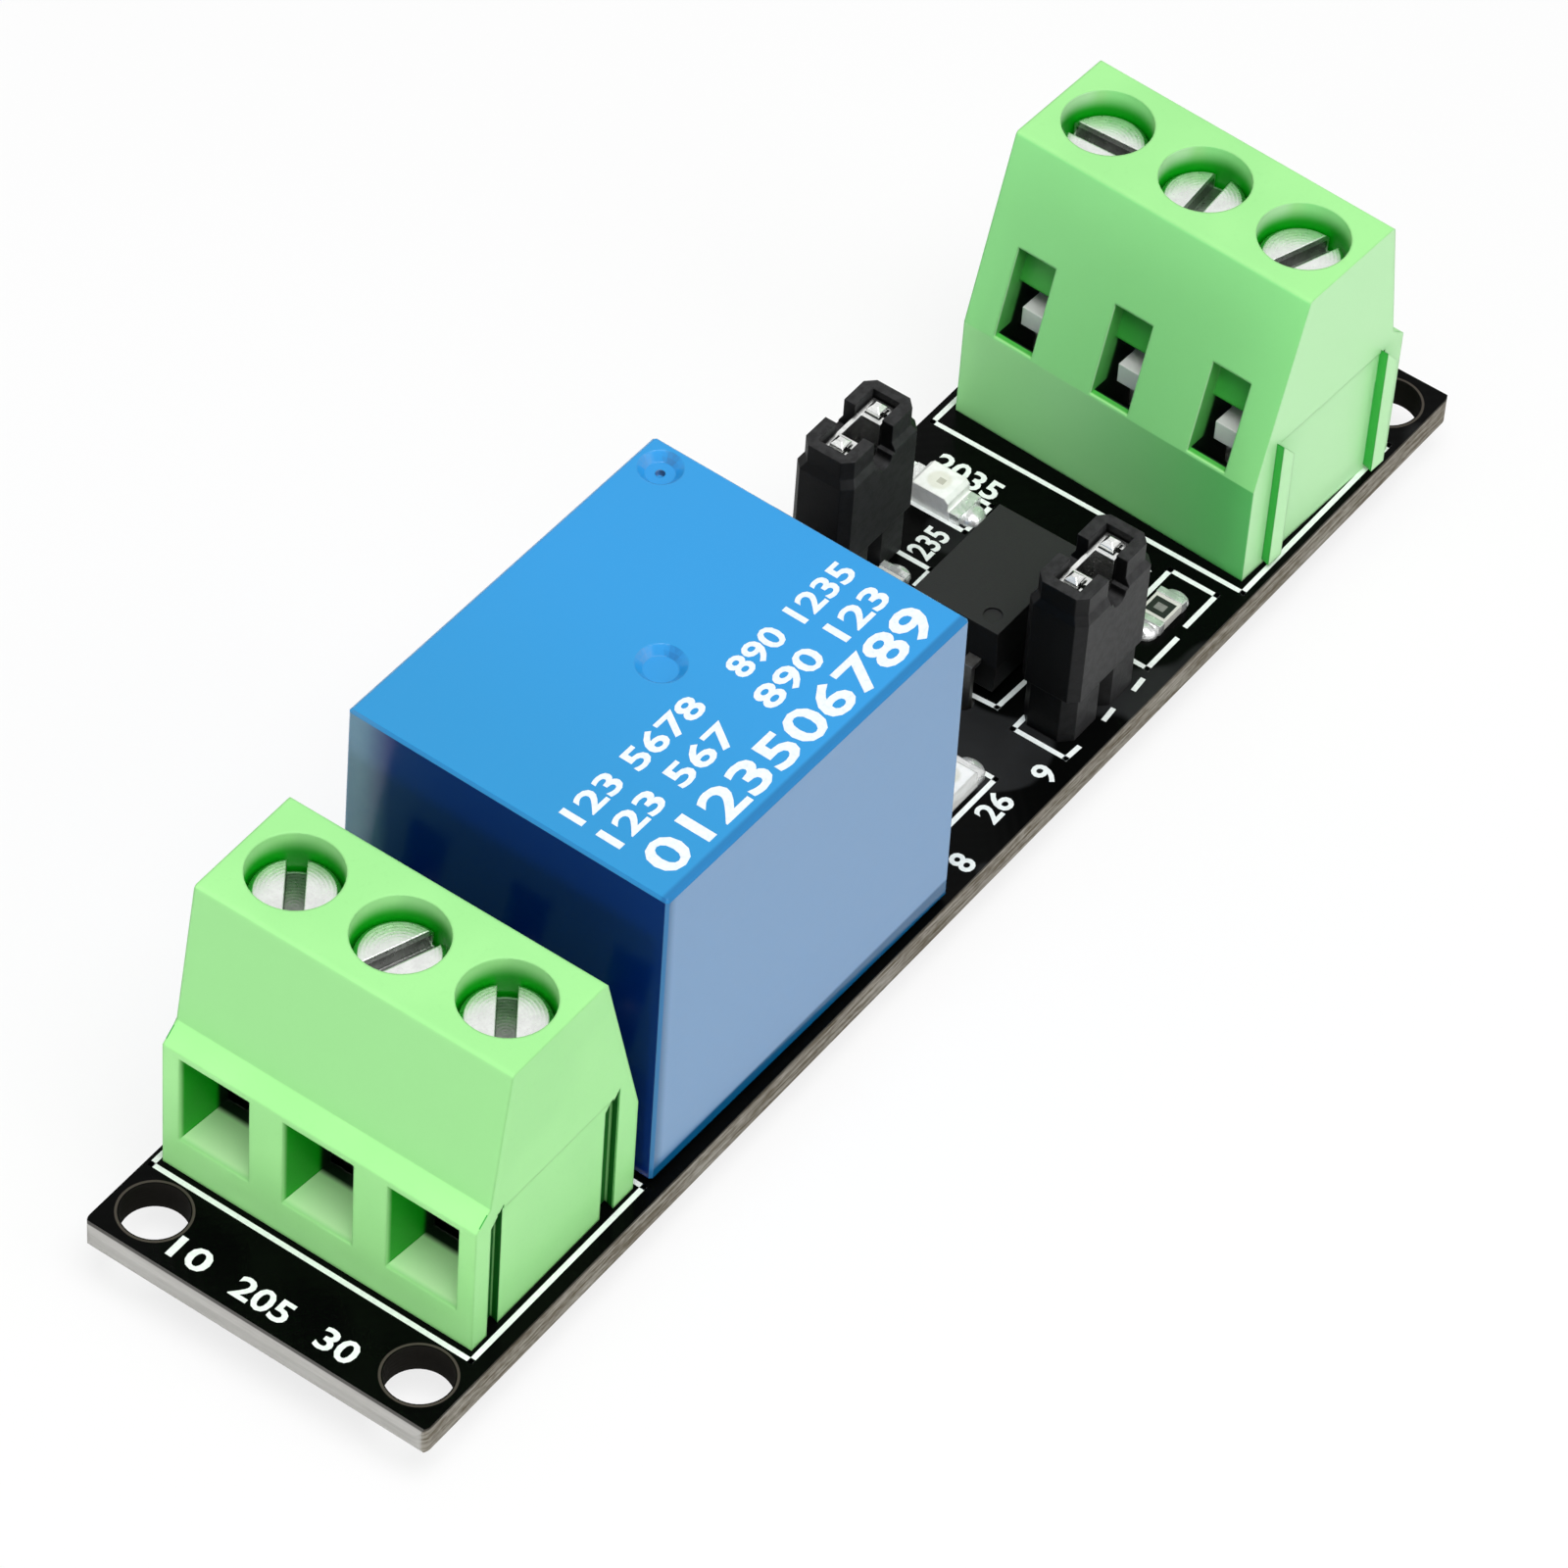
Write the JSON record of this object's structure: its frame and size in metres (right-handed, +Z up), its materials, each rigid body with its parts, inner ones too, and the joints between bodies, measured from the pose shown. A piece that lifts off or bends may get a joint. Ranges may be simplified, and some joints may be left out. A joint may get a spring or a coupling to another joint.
{
  "type": "relay module board",
  "caption": "Narrow black relay board with light green screw terminals at both ends, a blue sealed relay and selector jumpers",
  "frame": {"origin": "centre of the four mounting holes, on the underside of the circuit board", "axes": "+X along the board from the load terminal to the control terminal, +Z up through the parts, +Y to the side with the indicator light"},
  "size_m": [0.071, 0.0165, 0.0194],
  "materials": {
    "board_laminate": "glossy black solder mask on glass laminate, khaki cut edges",
    "terminal_plastic": "light green moulded nylon",
    "plated_steel": "bright zinc plating",
    "tinned_brass": "tin plated strip",
    "relay_blue": "glossy blue moulded cover",
    "black_plastic": "black moulded plastic",
    "soft_iron": "plated soft iron",
    "copper_winding": "enamelled copper wire",
    "spring_bronze": "rolled spring bronze",
    "contact_silver": "silver contact alloy",
    "moulding_compound": "dark grey moulding compound",
    "led_lens": "clear to white resin",
    "chip_ceramic": "black glaze on white ceramic",
    "solder": "bright solder"
  },
  "bodies": {
    "board": {"chip_resistor_1": "chip_ceramic", "chip_resistor_2": "chip_ceramic", "chip_resistor_3": "chip_ceramic", "chip_resistor_4": "chip_ceramic", "chip_resistor_ends": "solder", "circuit_board": "board_laminate", "coil_diode_body": "moulding_compound", "coil_diode_leads": "tinned_brass", "far_terminal_housing": "terminal_plastic", "far_terminal_pin_1": "tinned_brass", "far_terminal_pin_2": "tinned_brass", "far_terminal_pin_3": "tinned_brass", "left_header_base": "black_plastic", "left_header_pins": "tinned_brass", "near_terminal_housing": "terminal_plastic", "near_terminal_pin_1": "tinned_brass", "near_terminal_pin_2": "tinned_brass", "near_terminal_pin_3": "tinned_brass", "optocoupler_body": "moulding_compound", "optocoupler_leads": "tinned_brass", "power_led_body": "led_lens", "power_led_ends": "solder", "relay_base": "black_plastic", "relay_bobbin": "black_plastic", "relay_case": "relay_blue", "relay_closed_contact": "tinned_brass", "relay_coil_pins": "tinned_brass", "relay_common_pin": "tinned_brass", "relay_core": "soft_iron", "relay_led_body": "led_lens", "relay_led_ends": "solder", "relay_open_contact": "tinned_brass", "relay_winding": "copper_winding", "relay_yoke": "soft_iron", "right_header_base": "black_plastic", "right_header_pins": "tinned_brass", "solder_joints": "solder", "transistor_body": "moulding_compound", "transistor_leads": "tinned_brass"},
    "near_screw_1": {"near_clamp_screw_1": "plated_steel"},
    "near_clamp_1": {"near_rising_clamp_1": "plated_steel"},
    "near_screw_2": {"near_clamp_screw_2": "plated_steel"},
    "near_clamp_2": {"near_rising_clamp_2": "plated_steel"},
    "near_screw_3": {"near_clamp_screw_3": "plated_steel"},
    "near_clamp_3": {"near_rising_clamp_3": "plated_steel"},
    "far_screw_1": {"far_clamp_screw_1": "plated_steel"},
    "far_clamp_1": {"far_rising_clamp_1": "plated_steel"},
    "far_screw_2": {"far_clamp_screw_2": "plated_steel"},
    "far_clamp_2": {"far_rising_clamp_2": "plated_steel"},
    "far_screw_3": {"far_clamp_screw_3": "plated_steel"},
    "far_clamp_3": {"far_rising_clamp_3": "plated_steel"},
    "armature": {"relay_armature": "soft_iron", "relay_contact_leaf": "spring_bronze", "relay_moving_contact": "contact_silver"},
    "left_jumper": {"left_jumper_cap": "black_plastic", "left_jumper_clip": "tinned_brass"},
    "right_jumper": {"right_jumper_cap": "black_plastic", "right_jumper_clip": "tinned_brass"}
  },
  "joints": [
    {"name": "near_screw_turn_1", "type": "hinge", "parent": "board", "child": "near_screw_1", "pos_m": [-0.0264, -0.00475, 0.0134], "axis": [0, 0, -1], "range_deg": [0, 1801]},
    {"name": "near_clamp_rise_1", "type": "slide", "parent": "board", "child": "near_clamp_1", "axis": [0, 0, 1], "range_m": [0, 0.0025]},
    {"name": "near_screw_turn_2", "type": "hinge", "parent": "board", "child": "near_screw_2", "pos_m": [-0.0264, 0.00025, 0.0134], "axis": [0, 0, -1], "range_deg": [0, 1801]},
    {"name": "near_clamp_rise_2", "type": "slide", "parent": "board", "child": "near_clamp_2", "axis": [0, 0, 1], "range_m": [0, 0.0025]},
    {"name": "near_screw_turn_3", "type": "hinge", "parent": "board", "child": "near_screw_3", "pos_m": [-0.0264, 0.00525, 0.0134], "axis": [0, 0, -1], "range_deg": [0, 1801]},
    {"name": "near_clamp_rise_3", "type": "slide", "parent": "board", "child": "near_clamp_3", "axis": [0, 0, 1], "range_m": [0, 0.0025]},
    {"name": "far_screw_turn_1", "type": "hinge", "parent": "board", "child": "far_screw_1", "pos_m": [0.02669, 0.0048, 0.0134], "axis": [0, 0, -1], "range_deg": [0, 1801]},
    {"name": "far_clamp_rise_1", "type": "slide", "parent": "board", "child": "far_clamp_1", "axis": [0, 0, 1], "range_m": [0, 0.0025]},
    {"name": "far_screw_turn_2", "type": "hinge", "parent": "board", "child": "far_screw_2", "pos_m": [0.02647, -0.0002, 0.0134], "axis": [0, 0, -1], "range_deg": [0, 1801]},
    {"name": "far_clamp_rise_2", "type": "slide", "parent": "board", "child": "far_clamp_2", "axis": [0, 0, 1], "range_m": [0, 0.0025]},
    {"name": "far_screw_turn_3", "type": "hinge", "parent": "board", "child": "far_screw_3", "pos_m": [0.02625, -0.0052, 0.0134], "axis": [0, 0, -1], "range_deg": [0, 1801]},
    {"name": "far_clamp_rise_3", "type": "slide", "parent": "board", "child": "far_clamp_3", "axis": [0, 0, 1], "range_m": [0, 0.0025]},
    {"name": "armature_pull", "type": "hinge", "parent": "board", "child": "armature", "pos_m": [-0.00405, -0.00017, 0.01375], "axis": [-0.0175, -0.9998, 0], "range_deg": [0, 1.8], "stiffness_Nm_per_rad": 0.02, "springref_deg": -11.46},
    {"name": "left_jumper_pull", "type": "slide", "parent": "board", "child": "left_jumper", "axis": [0, 0, 1], "range_m": [0, 0.0053]},
    {"name": "right_jumper_pull", "type": "slide", "parent": "board", "child": "right_jumper", "axis": [0, 0, 1], "range_m": [0, 0.0053]}
  ],
  "couplings": [
    {"joint": "near_screw_turn_1", "follows": "near_clamp_rise_1", "rad_per_m": 12566},
    {"joint": "near_screw_turn_2", "follows": "near_clamp_rise_2", "rad_per_m": 12566},
    {"joint": "near_screw_turn_3", "follows": "near_clamp_rise_3", "rad_per_m": 12566},
    {"joint": "far_screw_turn_1", "follows": "far_clamp_rise_1", "rad_per_m": 12566},
    {"joint": "far_screw_turn_2", "follows": "far_clamp_rise_2", "rad_per_m": 12566},
    {"joint": "far_screw_turn_3", "follows": "far_clamp_rise_3", "rad_per_m": 12566}
  ]
}
